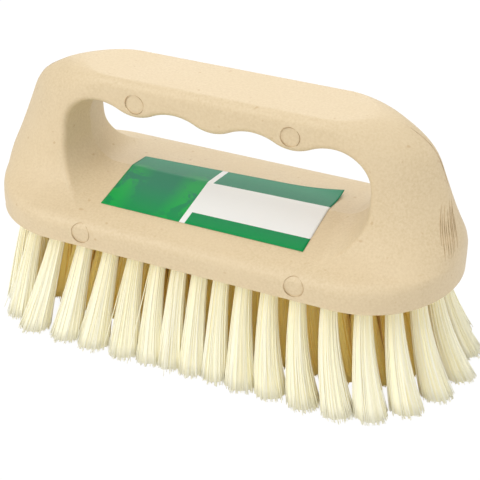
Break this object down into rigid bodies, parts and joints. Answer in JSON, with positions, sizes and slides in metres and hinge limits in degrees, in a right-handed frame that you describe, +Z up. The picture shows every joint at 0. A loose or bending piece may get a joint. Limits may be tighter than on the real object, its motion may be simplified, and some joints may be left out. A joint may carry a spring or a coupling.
{
  "type": "scrub brush",
  "caption": "Hand scrub brush: a moulded cream block with a closed finger-grip handle, rings of splayed bristle tufts anchored in its underside and a plain printed label.",
  "frame": {"origin": "on the level that the bristle tips are trimmed to, straight below the middle of the block", "axes": "+X along the block, +Y across it to the side without pin marks, +Z up through the handle"},
  "size_m": [0.1576, 0.0776, 0.0806],
  "materials": {
    "block": "satin foamed plastic with faint swirls",
    "bristle": "pale, slightly glossy filament",
    "anchor": "bare flat wire",
    "label": "satin printed film, green and white panels"
  },
  "bodies": {
    "root": {"handle_block": "block", "inner_anchors": "anchor", "inner_tufts": "bristle", "label": "label", "middle_anchors": "anchor", "middle_tuft_01": "bristle", "middle_tuft_02": "bristle", "middle_tuft_03": "bristle", "middle_tuft_04": "bristle", "middle_tuft_05": "bristle", "middle_tuft_06": "bristle", "middle_tuft_07": "bristle", "middle_tuft_08": "bristle", "middle_tuft_09": "bristle", "middle_tuft_10": "bristle", "middle_tuft_11": "bristle", "outer_anchors": "anchor", "outer_tuft_01": "bristle", "outer_tuft_02": "bristle", "outer_tuft_03": "bristle", "outer_tuft_04": "bristle", "outer_tuft_05": "bristle", "outer_tuft_06": "bristle", "outer_tuft_07": "bristle", "outer_tuft_08": "bristle", "outer_tuft_09": "bristle", "outer_tuft_10": "bristle", "outer_tuft_11": "bristle", "outer_tuft_12": "bristle", "outer_tuft_13": "bristle", "outer_tuft_14": "bristle", "outer_tuft_15": "bristle", "outer_tuft_16": "bristle", "outer_tuft_17": "bristle", "outer_tuft_18": "bristle", "outer_tuft_19": "bristle", "outer_tuft_20": "bristle", "outer_tuft_21": "bristle", "outer_tuft_22": "bristle", "outer_tuft_23": "bristle", "outer_tuft_24": "bristle", "outer_tuft_25": "bristle", "outer_tuft_26": "bristle", "outer_tuft_27": "bristle", "outer_tuft_28": "bristle", "outer_tuft_29": "bristle", "outer_tuft_30": "bristle", "outer_tuft_31": "bristle", "outer_tuft_32": "bristle", "outer_tuft_33": "bristle", "outer_tuft_34": "bristle", "outer_tuft_35": "bristle", "outer_tuft_36": "bristle", "outer_tuft_37": "bristle", "outer_tuft_38": "bristle"}
  },
  "joints": []
}
